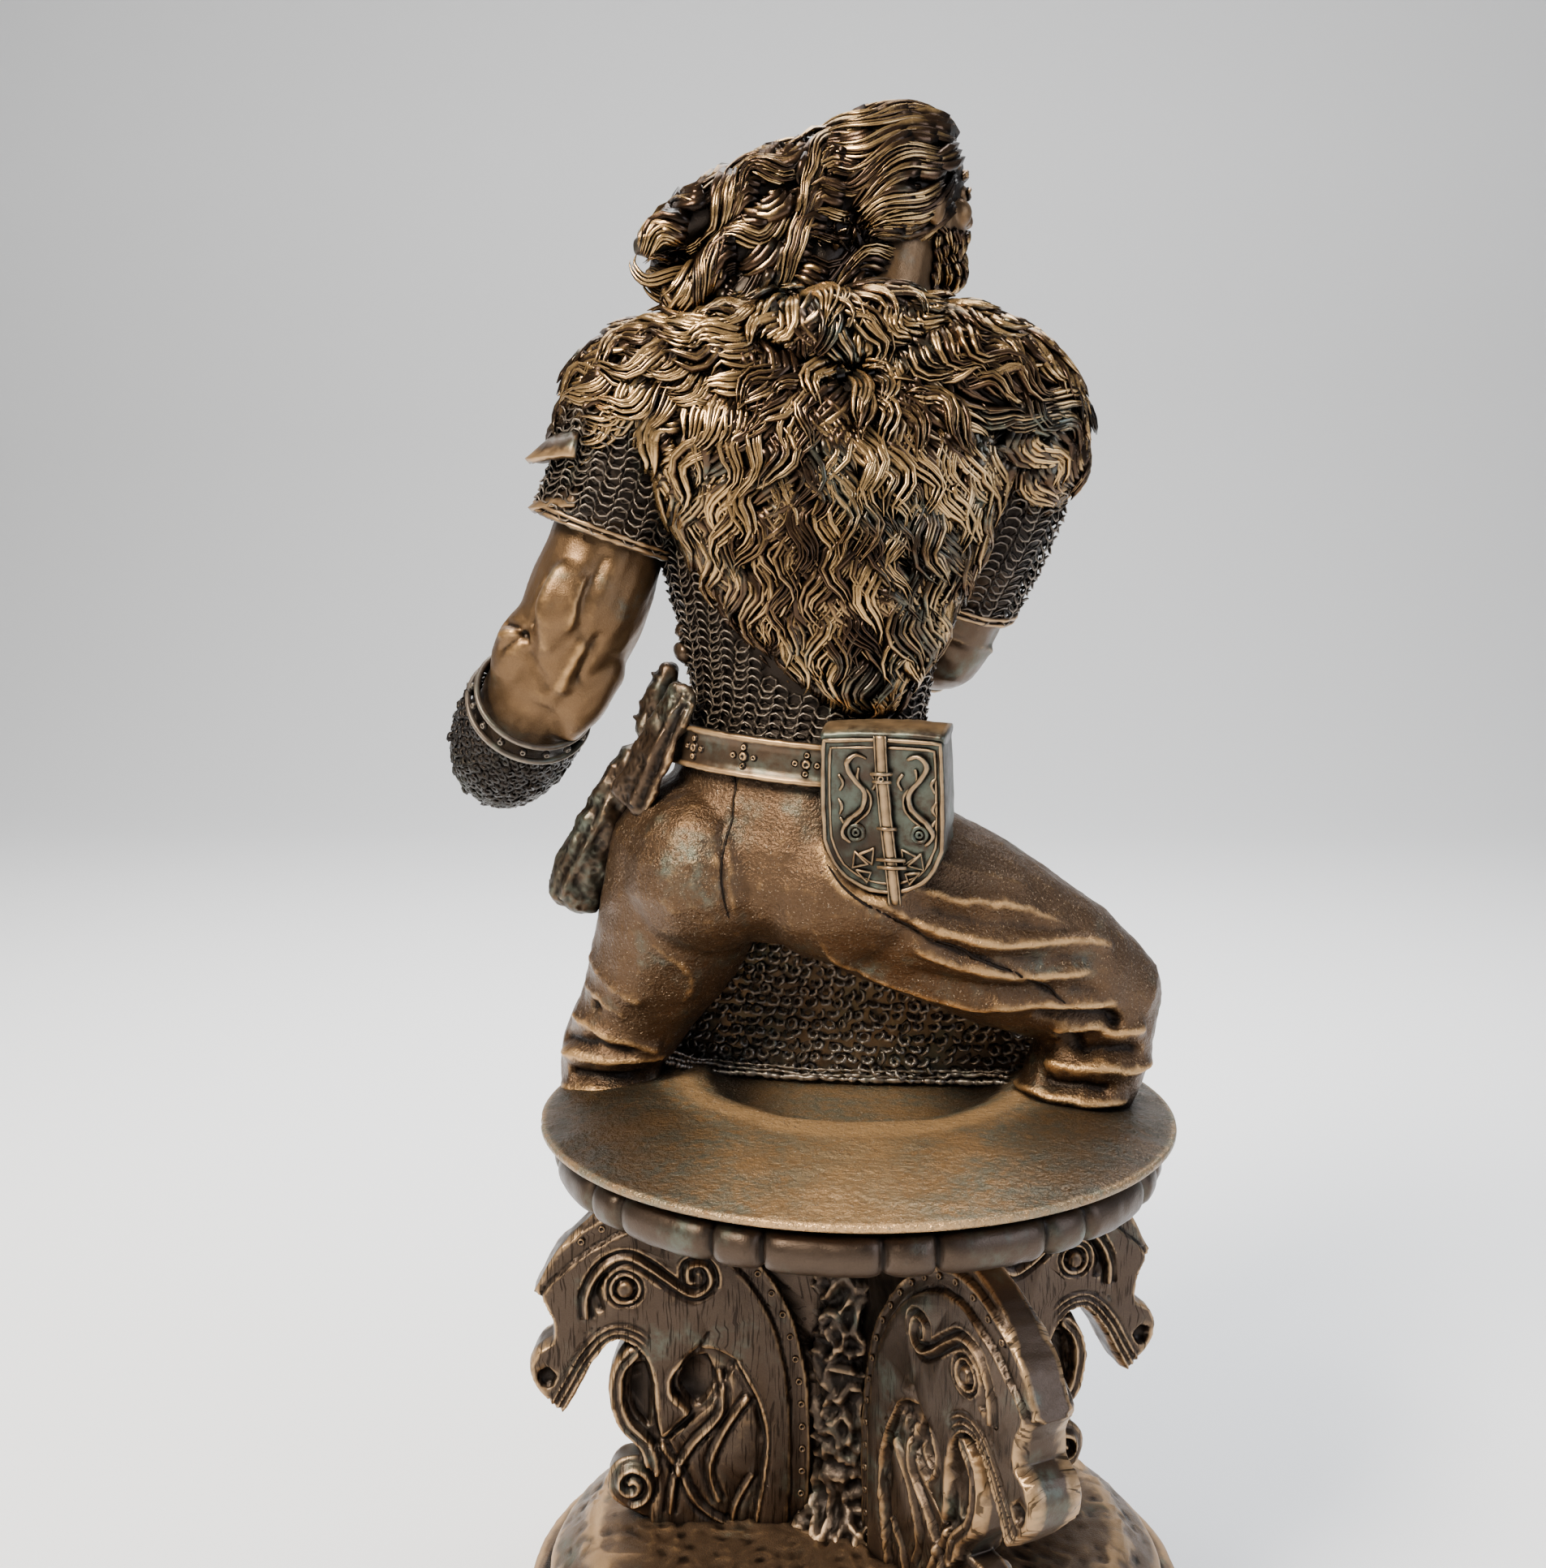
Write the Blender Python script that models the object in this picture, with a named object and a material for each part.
"""A cold-cast bronze statue of a Norse god, seen from behind in a wide lunge.

The figure and the ground plate under him are one casting. It stands on a
round pedestal with a beaded capital, four carved dragon brackets round a
column, and a stepped foot. The frame is the underside's centre, +Z up. The
figure's back is on the +Y side, and his left is on the +X side.
"""

import math

import bmesh
import bpy
from mathutils import Matrix, Vector
from mathutils.bvhtree import BVHTree

MM = 0.001

# Pedestal
FOOT_HEIGHT = 28 * MM
FOOT_RADIUS = 75 * MM
FOOT_TOP_RADIUS = 61 * MM
FOOT_STEP = 5 * MM
BRACKET_HEIGHT = 84 * MM
COLUMN_RADIUS = 14 * MM
CAPITAL_HEIGHT = 13 * MM
CAPITAL_FLARE = 20 * MM
CAPITAL_RADIUS = 62 * MM
BEAD_RING_RADIUS = 63 * MM
BEAD_DEPTH = 8 * MM
BEAD_BULGE = 4 * MM
BEAD_PAIR_COUNT = 12
BEAD_START = 14
LONG_BEAD_SHARE = 0.69
BRACKET_THICKNESS = 13 * MM
BRACKET_CORE_THICKNESS = 8 * MM
BRACKET_BEARINGS = (3.3, 122.2, 199.8, 281.5)
BRACKET_REACH = 73.7 * MM
EYE_RADIUS = 4.8 * MM
BROW_THICKNESS = 1.4 * MM

# Ground plate, cast with the figure
PLATE_RADIUS = 70 * MM
PLATE_LIP = 2 * MM
HOLLOW_RADIUS = 39 * MM
HOLLOW_OFFSET = 15 * MM
CREST_HEIGHT = 3.2 * MM
SEAT_GAP = 0.3 * MM

# Figure. Its pose is drawn at this height, and scales with it.
FIGURE_HEIGHT = 215 * MM
DRAWN_HEIGHT = 215.0
FIGURE_VOXEL = 1.15 * MM
FIGURE_TRIANGLE_COUNT = 4250

PLATE_TOP = FOOT_HEIGHT + BRACKET_HEIGHT + CAPITAL_HEIGHT
HIP_TURN = math.radians(22)
FACE_TURN = math.radians(62)


# Shapes

def clear_scene():
    for obj in list(bpy.data.objects):
        bpy.data.objects.remove(obj)


def add_mesh(name, verts, faces):
    """A new object from points and faces, with its faces turned outwards."""
    mesh = bpy.data.meshes.new(name)
    mesh.from_pydata([tuple(v) for v in verts], [], faces)
    bm = bmesh.new()
    bm.from_mesh(mesh)
    bmesh.ops.recalc_face_normals(bm, faces=bm.faces)
    bm.to_mesh(mesh)
    bm.free()
    obj = bpy.data.objects.new(name, mesh)
    bpy.context.scene.collection.objects.link(obj)
    return obj


def skin_rings(rings):
    """Points and faces of a closed body through rings of equal count."""
    count = len(rings[0])
    verts = [p for ring in rings for p in ring]
    faces = []
    for k in range(len(rings) - 1):
        for i in range(count):
            j = (i + 1) % count
            faces.append((k * count + i, k * count + j,
                          (k + 1) * count + j, (k + 1) * count + i))
    faces.append(tuple(range(count))[::-1])
    last = (len(rings) - 1) * count
    faces.append(tuple(range(last, last + count)))
    return verts, faces


def catmull(points, t):
    """The point at share t of a smooth curve through lists of numbers."""
    spans = len(points) - 1
    k = min(int(t * spans), spans - 1)
    f = t * spans - k
    a, b, c, d = (points[min(max(k + i, 0), spans)] for i in (-1, 0, 1, 2))
    return [
        0.5 * (2 * q + (r - p) * f + (2 * p - 5 * q + 4 * r - s) * f * f
               + (3 * q - p - 3 * r + s) * f ** 3)
        for p, q, r, s in zip(a, b, c, d)
    ]


def limb(stations, side=(1, 0, 0), steps=14, sides=16):
    """A round-ended body along stations of (x, y, z, half width, half depth)."""
    side = Vector(side)
    samples = [catmull(stations, i / steps) for i in range(steps + 1)]
    rings = []
    for i, s in enumerate(samples):
        before = Vector(samples[max(i - 1, 0)][:3])
        after = Vector(samples[min(i + 1, steps)][:3])
        along = (after - before).normalized()
        u = (side - along * side.dot(along)).normalized()
        v = along.cross(u)
        ends = [(0.0, 1.0)]
        if i == 0:
            ends = [(-0.95, 0.3), (-0.7, 0.7), (0.0, 1.0)]
        if i == steps:
            ends = [(0.0, 1.0), (0.7, 0.7), (0.95, 0.3)]
        for shift, shrink in ends:
            centre = Vector(s[:3]) + along * shift * min(s[3], s[4])
            rings.append([
                centre + u * (s[3] * shrink * math.cos(a)) + v * (s[4] * shrink * math.sin(a))
                for a in (2 * math.pi * n / sides for n in range(sides))
            ])
    return skin_rings(rings)


def turned_loft(stations, sides=28):
    """A body through level ellipses: (x, y, z, half width, half depth, turn)."""
    rings = []
    for x, y, z, wide, deep, turn in stations:
        left = Vector((math.cos(turn), -math.sin(turn), 0))
        back = Vector((math.sin(turn), math.cos(turn), 0))
        rings.append([
            Vector((x, y, z)) + left * (wide * math.cos(a)) + back * (deep * math.sin(a))
            for a in (2 * math.pi * n / sides for n in range(sides))
        ])
    return skin_rings(rings)


def ball(centre, radii, turn=0.0, sides=14):
    """An ellipsoid, turned about +Z."""
    x, y, z = centre
    wide, deep, tall = radii
    levels = [math.pi * k / 8 for k in range(1, 8)]
    return turned_loft([
        (x, y, z - tall * math.cos(a), wide * math.sin(a), deep * math.sin(a), turn)
        for a in levels
    ], sides)


# Figure, drawn in millimetres above the ground plate

def torso_forms():
    return [turned_loft([
        (17, -3, 38, 14, 10, HIP_TURN),
        (17, -2, 46, 27, 19, HIP_TURN),
        (16, -2, 58, 31, 22, HIP_TURN),
        (13, -3, 74, 29, 20.5, HIP_TURN),
        (11, -4, 90, 26, 18, 0.30),
        (10, -5, 106, 29, 20, 0.2),
        (8, -6, 124, 36, 23, 0.1),
        (7, -6, 142, 42, 24, 0.05),
        (5, -6, 155, 38, 20, 0.0),
        (1, -6, 164, 22, 15, 0.0),
        (-3, -7, 171, 13, 12, 0.0),
    ])]


def mantle_forms():
    """The fur over the shoulders, and its tail down the back."""
    return [
        limb([(56, -4, 146, 13, 12), (48, -3, 156, 17, 15), (26, 0, 160, 17, 15),
              (5, 0, 160, 18, 14), (-16, 0, 160, 17, 15), (-30, -2, 153, 16, 16),
              (-34, -4, 143, 12, 14)], side=(0, 1, 0), steps=18),
        turned_loft([
            (8, 12, 88, 7, 5, 0.15), (8, 12, 96, 15, 8, 0.15), (9, 8, 110, 24, 14, 0.1),
            (9, 5, 126, 34, 19, 0.05), (9, 3, 142, 42, 21, 0), (7, 2, 156, 38, 19, 0),
            (3, 0, 167, 22, 13, 0),
        ]),
    ]


def belt_forms():
    tilt = Matrix.Rotation(math.radians(-5), 3, "Y")
    ring = turned_loft([
        (13, -3, 75, 30.5, 22, HIP_TURN), (13, -3, 75.8, 31.5, 23, HIP_TURN),
        (12, -3, 83, 29.5, 21.5, HIP_TURN), (12, -3, 84, 28, 20, HIP_TURN),
    ], 36)
    pivot = Vector((12, -3, 80))
    return [([pivot + tilt @ (p - pivot) for p in ring[0]], ring[1])]


def leg_forms():
    forms = [
        ball((33, 4, 54), (19, 17, 18), HIP_TURN),
        ball((4, 9, 53), (21, 17, 18), HIP_TURN),
        limb([(35, -5, 56, 20, 19), (42, -9, 38, 18, 18), (51, -14, 20, 14, 15),
              (56, -18, 8, 13, 14), (57, -19, 2, 13, 14)]),
        limb([(2, 2, 54, 19, 21), (-20, 2, 44.5, 19, 21), (-40, -2, 33.5, 17, 18),
              (-56, -6, 25, 13, 14)], side=(0, 1, 0)),
        limb([(-55, -6, 27, 13, 13), (-55, -6, 18, 13, 14), (-51, -5, 8, 14, 14),
              (-48, -4, 2, 13, 13)]),
    ]
    cuffs = ((57, -18, 12, 15.5), (58, -19, 5, 15), (-52, -5, 15, 16.5), (-49, -4, 6, 15.5))
    for x, y, z, radius in cuffs:
        forms.append(ball((x, y, z), (radius, radius, 4.5)))
    return forms


def skirt_forms():
    """The mail skirt that hangs in front of the legs, down to the plate."""
    return [turned_loft([
        (4, -28, -1, 44, 12, 0.12), (4, -28, 3, 45, 12.5, 0.12), (5, -26, 14, 42, 12, 0.14),
        (8, -22, 28, 38, 13, 0.2), (12, -16, 44, 32, 15, 0.3), (13, -10, 58, 28, 16, HIP_TURN),
        (13, -6, 74, 27, 18, HIP_TURN),
    ])]


def arm_forms():
    left_side = (0, 1, 0)
    return [
        ball((51, -4, 148), (15, 15, 16)),
        limb([(49, -4, 149, 15, 15), (51, -4, 138, 15, 15.5), (54, -4, 129, 16, 16)],
             side=left_side, steps=8),
        limb([(50, -4, 142, 13, 13), (54, -4, 126, 13, 13), (60, -4, 110, 14, 14),
              (66, -6, 97, 12, 12.5)], side=left_side),
        limb([(65, -5, 101, 12, 12), (71, -13, 91, 13, 13.5), (78, -26, 81, 10.5, 11),
              (83, -36, 75, 8, 8.5)], side=left_side),
        limb([(69, -12, 91, 14, 13.5), (74, -20, 85, 14.5, 14.5), (83, -32, 75, 12, 12)],
             side=left_side, steps=6),
        ball((90, -45, 70), (8.5, 9.5, 9)),
        ball((-33, -8, 147), (15, 16, 16)),
        limb([(-32, -8, 148, 16, 15.5), (-29, -13, 132, 16, 15.5), (-22.5, -19, 116, 15, 15)],
             side=left_side, steps=8),
        limb([(-30, -12, 130, 12, 12), (-22, -20, 110, 11, 11.5), (-19, -23, 101, 10, 10.5)],
             side=left_side, steps=8),
        limb([(-19, -24, 101, 9.5, 10), (-12, -37, 99, 9.5, 9.5), (2, -43, 99, 7, 7)],
             side=(0, 0, 1), steps=8),
        ball((9, -44, 99), (8.5, 8, 9)),
    ]


def head_forms():
    """Skull, face, neck and beard, with the face turned to the figure's right."""
    ahead = Vector((-math.sin(FACE_TURN), -math.cos(FACE_TURN), 0))
    across = Vector((math.cos(FACE_TURN), -math.sin(FACE_TURN), 0))
    centre = Vector((-9, -12, 198))

    def at(forward, sideways, up):
        return tuple(centre + ahead * forward + across * sideways + Vector((0, 0, up)))

    turn = FACE_TURN
    forms = [
        limb([(-1, -7, 166, 12, 12), (-4, -9, 176, 11, 11), (-7, -11, 187, 10.5, 11)]),
        ball(at(-2, 0, 2), (13, 16, 15.5), turn),
        ball(at(4, 0, -6), (10.5, 11.5, 13), turn),
        ball(at(12.5, 0, 3.2), (9, 3, 2.4), turn),
        limb([(*at(14, 0, 3), 1.6, 1.8), (*at(17, 0, -3), 2.4, 2.2)], steps=4, sides=8),
        ball(at(9, 0, -15), (8, 7.5, 7), turn),
        ball(at(13, 0, -9.5), (5.5, 2.5, 2), turn),
    ]
    for hand in (-1, 1):
        forms.append(ball(at(10.5, hand * 6.5, -3.5), (3.8, 3.5, 4), turn))
    return forms


def strand(start, end, lift, wave, thick, phase):
    """One lock of blown hair: from the skull, out and back, in a wave."""
    start, end = Vector(start), Vector(end)
    stations = []
    for i in range(7):
        t = i / 6
        p = start.lerp(end, t)
        p.z += lift * math.sin(math.pi * t) + wave * math.sin(2.4 * math.pi * t + phase) * t
        p.y += 0.6 * wave * math.cos(2.4 * math.pi * t + phase) * t
        radius = thick * (1 - 0.72 * t ** 2)
        stations.append((*p, radius, radius * 0.85))
    return limb(stations, side=(0, 1, 0), steps=12, sides=8)


def hair_forms():
    """Long hair blown to the figure's left, as thick wavy locks."""
    ends = [
        (40, -4, 194, 4.2, 0.3), (47, 3, 187, 4.8, 1.2), (44, -3, 181, 4.8, 2.0),
        (39, 5, 176, 5.0, 0.8), (35, -6, 171, 4.8, 2.6), (29, 7, 173, 5.0, 3.4),
        (21, 4, 171, 5.0, 1.6), (13, 7, 174, 5.0, 4.2), (30, 0, 189, 5.0, 5.0),
    ]
    forms = [ball((7, -6, 192), (20, 10, 14)), ball((-4, -8, 199), (17, 14, 15))]
    for k, (x, y, z, thick, phase) in enumerate(ends):
        share = k / (len(ends) - 1)
        start = (-6 + 8 * share, -6 + 4 * math.sin(3 * share), 209 - 18 * share)
        forms.append(strand(start, (x, y, z), 2.5, 2.2, thick * 1.2, phase))
    for k in range(7):
        a = math.radians(-60 + 20 * k)
        top = (-9 + 3 * math.sin(a), -12 + 13 * math.sin(a), 199 + 15 * math.cos(a))
        front = (-9 - 13, top[1] - 5, 197 + 15 * math.cos(a))
        forms.append(limb([(*front, 3, 3), (*top, 4, 4),
                           (5, -6 + 9 * math.sin(a), 198 + 7 * math.cos(a), 4.5, 4.5)],
                          side=(0, 1, 0), steps=8, sides=8))
    return forms


def pouch_forms():
    """The decorated pouch on the back of the right hip."""
    forms = []
    face = math.radians(-12)
    for wide, tall, deep, out in ((12.5, 16.5, 4.0, 0.0), (9.5, 13.5, 5.0, 0.0)):
        rings = []
        for y in (-deep, deep):
            ring = []
            for n in range(20):
                a = 2 * math.pi * n / 20
                x = wide * max(-1, min(1, 1.25 * math.cos(a)))
                z = tall * (min(1, 1.3 * math.sin(a)) if math.sin(a) > 0 else math.sin(a))
                ring.append((x, y + out, z))
            rings.append(ring)
        place = Matrix.Translation((-6.5, 24.5, 70.5)) @ Matrix.Rotation(face, 4, "Z")
        place = place @ Matrix.Rotation(math.radians(-6), 4, "X")
        verts, faces = skin_rings(rings)
        forms.append(([place @ Vector(p) for p in verts], faces))
    return forms


def sheath_forms():
    """The knife in its sheath on the left hip, and the flap behind it."""
    return [
        limb([(43, -6, 94, 3, 4.5), (47, -6, 84, 3.5, 6), (52, -6, 72, 4.5, 7),
              (60, -6, 56, 3, 6), (68, -6, 43, 2.6, 5)], side=(1, 0, 0.5), sides=10),
        limb([(42, 0, 88, 3, 7), (46, -1, 76, 3, 8), (52, -2, 64, 2.5, 7)],
             side=(1, 0, 0.5), sides=10),
    ]


def fur_locks(tree):
    """Thick pointed locks in rows over the fur, found by rays at its middle."""
    heart = Vector((8, -4, 138))
    forms = []
    rows = 6
    for row in range(rows):
        steep = math.radians(38 + 19 * row)
        count = (14, 15, 13, 9, 6, 4)[row]
        reach = math.radians((176, 178, 130, 84, 58, 34)[row])
        for k in range(count):
            a = math.pi / 2 + reach * (k / (count - 1) - 0.5) * 2 * 0.62
            path = []
            for step in range(4):
                down = steep + math.radians(5.0) * step
                swing = a + math.radians(5) * math.sin(1.7 * step + k * 1.3 + row)
                ray = Vector((math.sin(down) * math.cos(swing), math.sin(down) * math.sin(swing),
                              math.cos(down)))
                hit = tree.ray_cast(heart + ray * 120, -ray)
                if hit[0] is None:
                    break
                rise = (0.6, 1.6, 1.8, 1.6)[step]
                path.append((*(hit[0] + hit[1] * rise), (3.2, 4.0, 3.0, 1.0)[step], 2.2))
            if len(path) == 4:
                forms.append(limb(path, side=(math.sin(a), -math.cos(a), 0), steps=5, sides=6))
    return forms


def join_forms(forms):
    verts, faces = [], []
    for points, polygons in forms:
        base = len(verts)
        verts += [Vector(p) for p in points]
        faces += [tuple(base + i for i in f) for f in polygons]
    return verts, faces


def melt(name, forms, voxel, triangles):
    """The forms joined into one smooth skin of about that many triangles."""
    scale = FIGURE_HEIGHT / DRAWN_HEIGHT
    verts, faces = join_forms(forms)
    lift = Vector((0, 0, PLATE_TOP))
    obj = add_mesh(name, [v * scale + lift for v in verts], faces)
    remesh = obj.modifiers.new("melt", "REMESH")
    remesh.mode = "VOXEL"
    remesh.voxel_size = voxel
    smooth = obj.modifiers.new("smooth", "SMOOTH")
    smooth.factor = 0.5
    smooth.iterations = 2
    apply_modifiers(obj)
    keep_largest(obj)
    reduce = obj.modifiers.new("reduce", "DECIMATE")
    full = sum(len(p.vertices) - 2 for p in obj.data.polygons)
    reduce.ratio = min(1.0, triangles / full)
    reduce.use_collapse_triangulate = True
    apply_modifiers(obj)
    return obj


def keep_largest(obj):
    """Removes loose bits, so that one closed skin is left."""
    bm = bmesh.new()
    bm.from_mesh(obj.data)
    left, islands = set(bm.verts), []
    while left:
        stack = [left.pop()]
        island = list(stack)
        while stack:
            for edge in stack.pop().link_edges:
                for v in edge.verts:
                    if v in left:
                        left.remove(v)
                        stack.append(v)
                        island.append(v)
        islands.append(island)
    islands.sort(key=len)
    for island in islands[:-1]:
        bmesh.ops.delete(bm, geom=island, context="VERTS")
    bm.to_mesh(obj.data)
    bm.free()


def apply_modifiers(obj):
    graph = bpy.context.evaluated_depsgraph_get()
    made = bpy.data.meshes.new_from_object(obj.evaluated_get(graph))
    obj.modifiers.clear()
    obj.data = made


def cut_below(obj, height):
    """Takes off what hangs under a level plane, and closes the cut."""
    bm = bmesh.new()
    bm.from_mesh(obj.data)
    cut = bmesh.ops.bisect_plane(
        bm, geom=bm.verts[:] + bm.edges[:] + bm.faces[:], dist=1e-7,
        plane_co=(0, 0, height), plane_no=(0, 0, 1), clear_inner=True)
    rim = [g for g in cut["geom_cut"] if isinstance(g, bmesh.types.BMEdge)]
    bmesh.ops.holes_fill(bm, edges=rim, sides=0)
    bmesh.ops.recalc_face_normals(bm, faces=bm.faces)
    bm.to_mesh(obj.data)
    bm.free()


def union(name, objects):
    """One body from overlapping ones."""
    cutters = bpy.data.collections.new(name + "_pieces")
    for obj in objects[1:]:
        cutters.objects.link(obj)
    body = objects[0]
    body.name = name
    merge = body.modifiers.new("union", "BOOLEAN")
    merge.operation = "UNION"
    merge.solver = "EXACT"
    merge.operand_type = "COLLECTION"
    merge.collection = cutters
    merge.use_self = True
    apply_modifiers(body)
    for obj in objects[1:]:
        bpy.data.objects.remove(obj)
    return body


# Ground plate

def ground_plate():
    """A thin-lipped disc that swells to a crest round an off-centre hollow."""
    bottom = PLATE_TOP - PLATE_LIP
    off = HOLLOW_OFFSET
    stations = [
        (0, bottom, PLATE_RADIUS - 0.8 * MM),
        (0, bottom + 0.5 * MM, PLATE_RADIUS),
        (0, PLATE_TOP - 0.5 * MM, PLATE_RADIUS),
        (0, PLATE_TOP, PLATE_RADIUS - 0.8 * MM),
    ]
    for share, rise in ((0.3, 0.12), (0.65, 0.5), (0.88, 0.86), (1.0, 1.0)):
        radius = PLATE_RADIUS + (HOLLOW_RADIUS - PLATE_RADIUS) * share
        stations.append((off * share ** 1.5, PLATE_TOP + CREST_HEIGHT * rise, radius))
    for shrink, rise in ((0.95, 0.8), (0.86, 0.1), (0.6, -0.1)):
        stations.append((off, PLATE_TOP + CREST_HEIGHT * rise, HOLLOW_RADIUS * shrink))
    return add_mesh("plate", *turned_loft([(0, -y, z, r, r, 0) for y, z, r in stations], 36))


# Pedestal

def lathe(name, profile, sides):
    return add_mesh(name, *turned_loft([(0, 0, z, r, r, 0) for r, z in profile], sides))


def pedestal_core():
    """Stepped foot, column and flared capital in one turned profile."""
    top = PLATE_TOP - PLATE_LIP - SEAT_GAP
    ring_bottom = FOOT_HEIGHT + BRACKET_HEIGHT
    step_z = FOOT_HEIGHT - 9 * MM
    return lathe("pedestal_core", [
        (FOOT_RADIUS - 1 * MM, 0),
        (FOOT_RADIUS, 1 * MM),
        (FOOT_RADIUS, step_z - FOOT_STEP - 1 * MM),
        (FOOT_RADIUS - 1 * MM, step_z - FOOT_STEP),
        (FOOT_RADIUS - FOOT_STEP, step_z - FOOT_STEP + 0.6 * MM),
        (FOOT_RADIUS - FOOT_STEP, step_z),
        (FOOT_RADIUS - FOOT_STEP - 1.5 * MM, step_z + 2 * MM),
        (FOOT_TOP_RADIUS + 2 * MM, FOOT_HEIGHT - 3 * MM),
        (FOOT_TOP_RADIUS, FOOT_HEIGHT - 0.8 * MM),
        (FOOT_TOP_RADIUS - 1.5 * MM, FOOT_HEIGHT),
        (COLUMN_RADIUS, FOOT_HEIGHT + 1 * MM),
        (COLUMN_RADIUS, ring_bottom - CAPITAL_FLARE),
        (COLUMN_RADIUS + 12 * MM, ring_bottom - 8 * MM),
        (CAPITAL_RADIUS, ring_bottom),
        (CAPITAL_RADIUS, top - 1 * MM),
        (CAPITAL_RADIUS + 2.5 * MM, top),
    ], 32)


def bead_ring():
    """Long cushions and short beads in turn, round the capital's edge."""
    middle = FOOT_HEIGHT + BRACKET_HEIGHT + BEAD_DEPTH / 2
    per_pair = 6
    count = BEAD_PAIR_COUNT * per_pair
    long = LONG_BEAD_SHARE
    short = 1 - long
    shape = ((0, 0.3), (0.14 * long, 1), (0.86 * long, 1), (long, 0.3),
             (long + 0.25 * short, 0.9), (long + 0.75 * short, 0.9))
    section = [(0.4, -0.9), (1.0, 0.0), (0.4, 0.9)]
    verts, faces = [], []
    for n in range(count):
        pair, step = divmod(n, per_pair)
        share, fullness = shape[step]
        a = math.radians(BEAD_START) + 2 * math.pi * (pair + share) / BEAD_PAIR_COUNT
        inner = BEAD_RING_RADIUS - 6 * MM
        ring = [(inner, -1.0)]
        for out, up in section:
            ring.append((BEAD_RING_RADIUS + BEAD_BULGE * fullness * out, up * (0.7 + 0.3 * fullness)))
        ring.append((inner, 1.0))
        for r, up in ring:
            verts.append((r * math.cos(a), r * math.sin(a), middle + up * BEAD_DEPTH / 2))
    m = len(section) + 2
    for n in range(count):
        o = (n + 1) % count
        for i in range(m):
            j = (i + 1) % m
            faces.append((n * m + i, n * m + j, o * m + j, o * m + i))
    return add_mesh("bead_ring", verts, faces)


# Dragon bracket, drawn in millimetres from the column's axis and below the plate

CORE_OUTLINE = [
    (8, -99), (8, -24), (22, -24), (40, -17), (54, -21), (62, -28),
    (65, -34), (69, -38.7), (70.7, -42.5), (68.2, -47.8), (69, -52.5), (73.7, -59.1),
    (72, -64.5), (66, -70), (62.5, -63.6), (59.2, -57.5), (54.5, -52.8), (50.6, -54),
    (54, -59), (55.3, -66), (53.1, -73.1), (48, -79.5), (52, -81), (56, -86), (55, -92),
    (50, -96), (49, -99),
]
FACE_OUTLINE = [
    (15.5, -99), (14.6, -78), (14.6, -66), (16.2, -55), (19.4, -46), (24.6, -37.7), (31, -31),
    (40, -25.5), (49, -25.5), (57.3, -29.5), (65, -34.3), (69.4, -38.5), (71.1, -42.5),
    (68.6, -47.8), (69.4, -52.3), (74.1, -59.1), (72.3, -64.8), (66, -70.6), (62.1, -63.6),
    (58.8, -57.3), (54.5, -52.4), (49.6, -53.6), (46.5, -58), (45.5, -66), (45.7, -72),
    (44.2, -76), (37.3, -69.8), (41.5, -65.3), (40.5, -60), (36.2, -55.3), (32, -53.5),
    (28.5, -57), (24.5, -63), (22, -70), (20.6, -78), (21.5, -88), (23, -99),
]
BROW_LINE = [
    (60.5, -46.5), (59.2, -39), (55.5, -34.3), (50.5, -33.3), (45.5, -36), (40.5, -40.2),
    (36, -41.4), (33, -38), (35.6, -34.8),
]
EYE_CENTRE = (51.7, -40.1)
DRAWN_REACH = 73.7
DRAWN_FACE_TOP = -97.0


def bracket_point(r, z):
    """A drawn point of the bracket at its real place, from the column's axis."""
    reach = BRACKET_REACH / DRAWN_REACH
    tall = (BRACKET_HEIGHT + CAPITAL_HEIGHT) / -DRAWN_FACE_TOP
    return r * reach, z * tall


def slab(name, outline, thickness):
    """An upright board of that outline, in the XZ plane."""
    rings = [[(x, side * thickness / 2, z) for x, z in (bracket_point(*p) for p in outline)]
             for side in (-1, 1)]
    return add_mesh(name, *skin_rings(rings))


def eye(side):
    x, z = bracket_point(*EYE_CENTRE)
    face = BRACKET_THICKNESS / 2
    rings = []
    for out, radius in ((-1.5, 1.0), (0.9, 1.0), (0.2, 0.6), (1.6, 0.3)):
        rings.append([
            (x + radius * EYE_RADIUS * math.cos(a), side * (face + out * MM),
             z + radius * EYE_RADIUS * math.sin(a))
            for a in (2 * math.pi * n / 8 for n in range(8))
        ])
    return add_mesh("eye", *skin_rings(rings))


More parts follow.
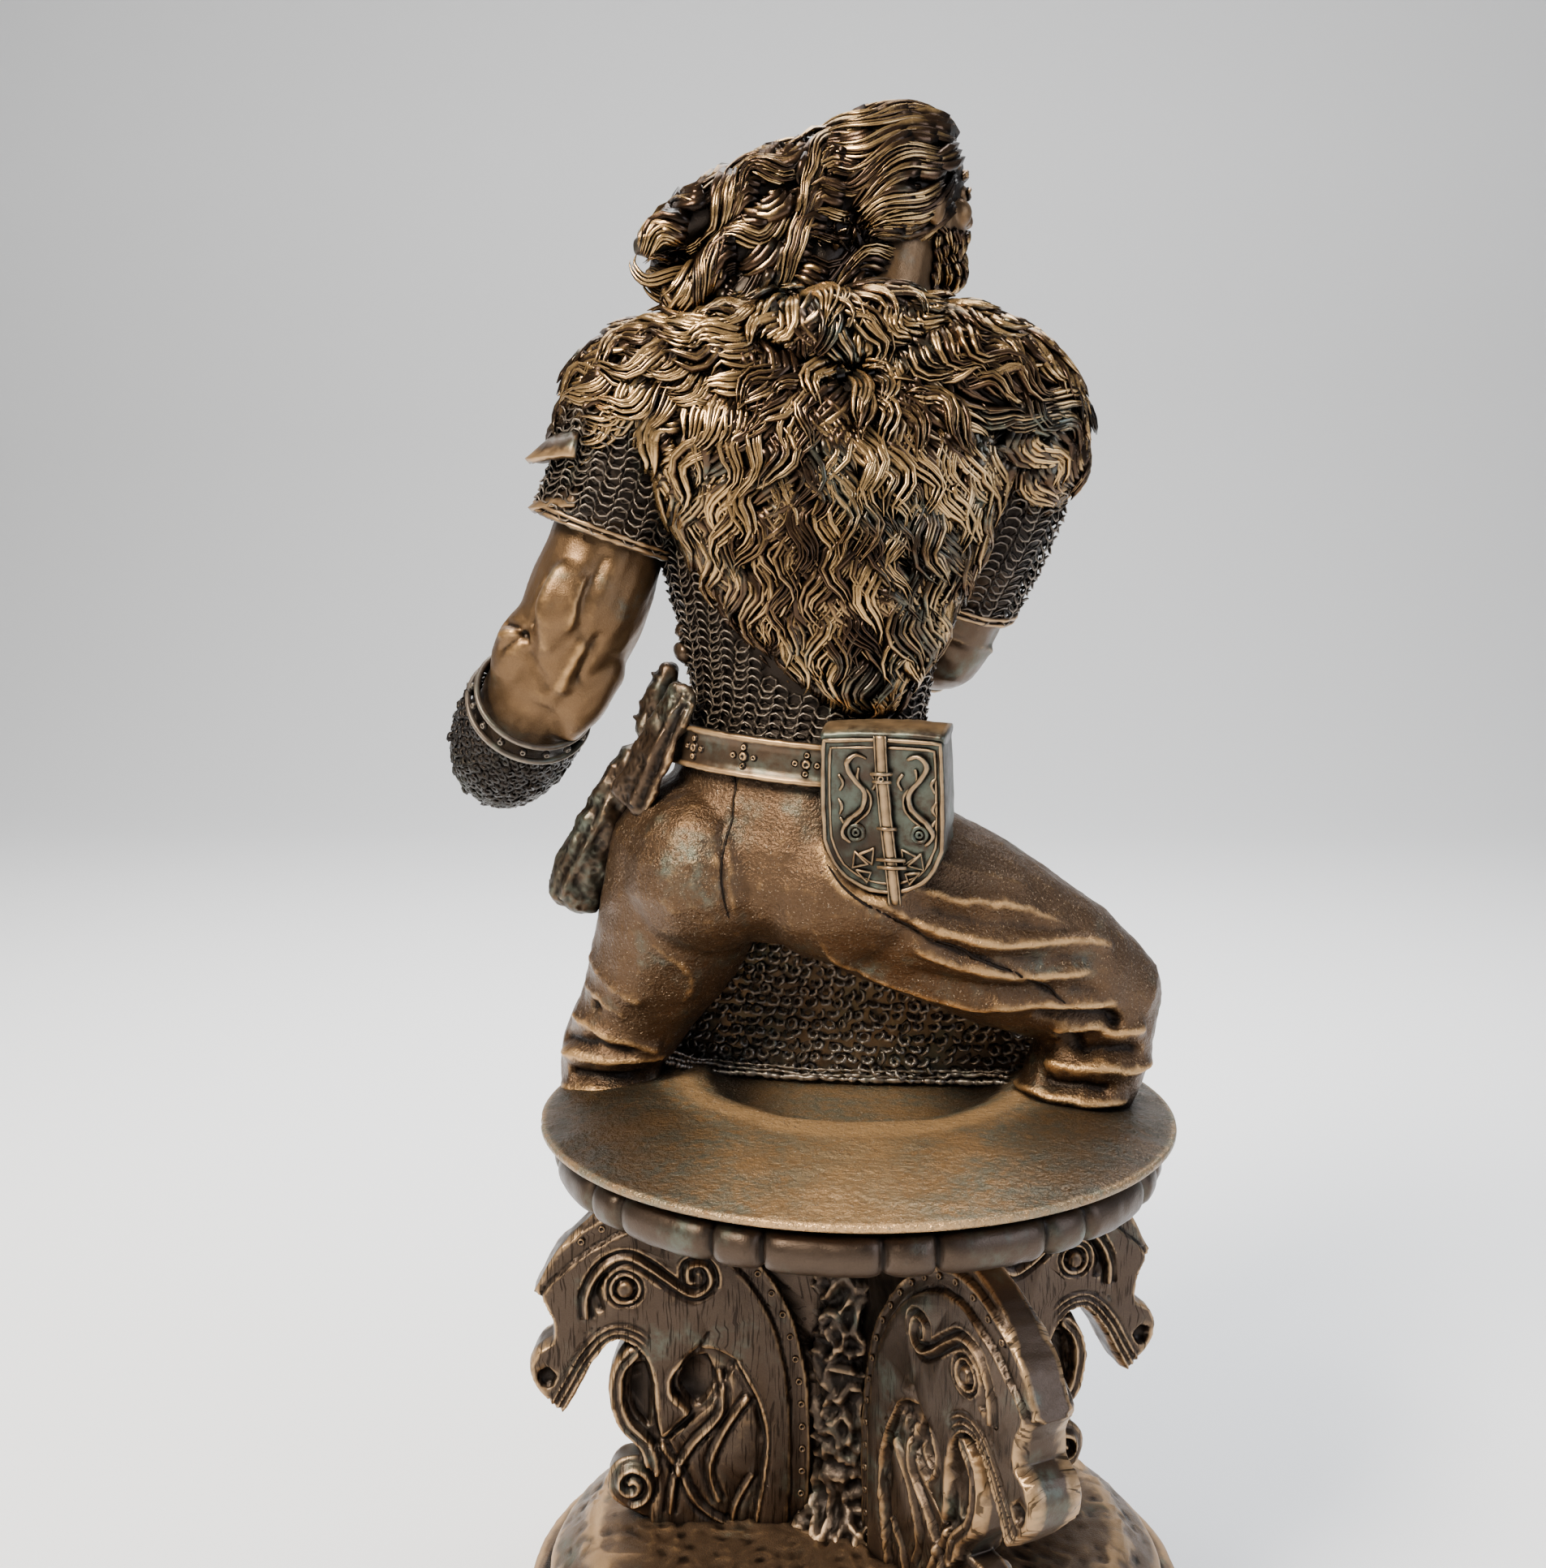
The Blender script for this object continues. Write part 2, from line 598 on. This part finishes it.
def brow(side):
    """A raised line over the eye that ends in a small scroll."""
    y = side * (BRACKET_THICKNESS / 2)
    half = BROW_THICKNESS / 2
    points = [Vector((*bracket_point(*p), 0)) for p in BROW_LINE]
    rings = []
    for i, p in enumerate(points):
        along = (points[min(i + 1, len(points) - 1)] - points[max(i - 1, 0)]).normalized()
        across = Vector((-along.y, along.x, 0))
        ring = []
        for s, out in ((-1.3, -1.2), (-0.7, 1.1), (0.7, 1.1), (1.3, -1.2)):
            q = p + across * s * half
            ring.append((q.x, y + side * out * MM, q.y))
        rings.append(ring)
    return add_mesh("brow", *skin_rings(rings))


def bracket(bearing):
    """One dragon: a board with a thinner crested core, eyes and brows."""
    pieces = [
        slab("bracket_core", CORE_OUTLINE, BRACKET_CORE_THICKNESS),
        slab("bracket_face", FACE_OUTLINE, BRACKET_THICKNESS),
    ]
    for side in (-1, 1):
        pieces += [eye(side), brow(side)]
    turn = Matrix.Rotation(math.radians(bearing), 4, "Z")
    for piece in pieces:
        piece.data.transform(turn @ Matrix.Translation((0, 0, PLATE_TOP)))
    return pieces


# Finish

def material(name, colour, roughness, metallic):
    made = bpy.data.materials.new(name)
    made.use_nodes = True
    shader = made.node_tree.nodes["Principled BSDF"]
    shader.inputs["Base Color"].default_value = (*colour, 1)
    shader.inputs["Roughness"].default_value = roughness
    shader.inputs["Metallic"].default_value = metallic
    return made


def finish(obj, made, crease):
    obj.data.materials.clear()
    obj.data.materials.append(made)
    obj.data.shade_smooth()
    obj.data.set_sharp_from_angle(angle=math.radians(crease))


def build_figure():
    body = (torso_forms() + mantle_forms() + belt_forms() + leg_forms() + skirt_forms()
            + arm_forms() + head_forms() + hair_forms() + pouch_forms() + sheath_forms())
    tree = BVHTree.FromPolygons(*join_forms(mantle_forms() + torso_forms()))
    skin = melt("figure_skin", body + fur_locks(tree), FIGURE_VOXEL, FIGURE_TRIANGLE_COUNT)
    cut_below(skin, PLATE_TOP - PLATE_LIP / 2)
    figure = union("figure", [ground_plate(), skin])
    finish(figure, material("figure_bronze", (0.36, 0.22, 0.10), 0.42, 0.8), 40)


def build_pedestal():
    pieces = [pedestal_core(), bead_ring()]
    for bearing in BRACKET_BEARINGS:
        pieces += bracket(bearing)
    pedestal = union("pedestal", pieces)
    finish(pedestal, material("pedestal_bronze", (0.30, 0.19, 0.09), 0.45, 0.8), 30)


clear_scene()
build_figure()
build_pedestal()
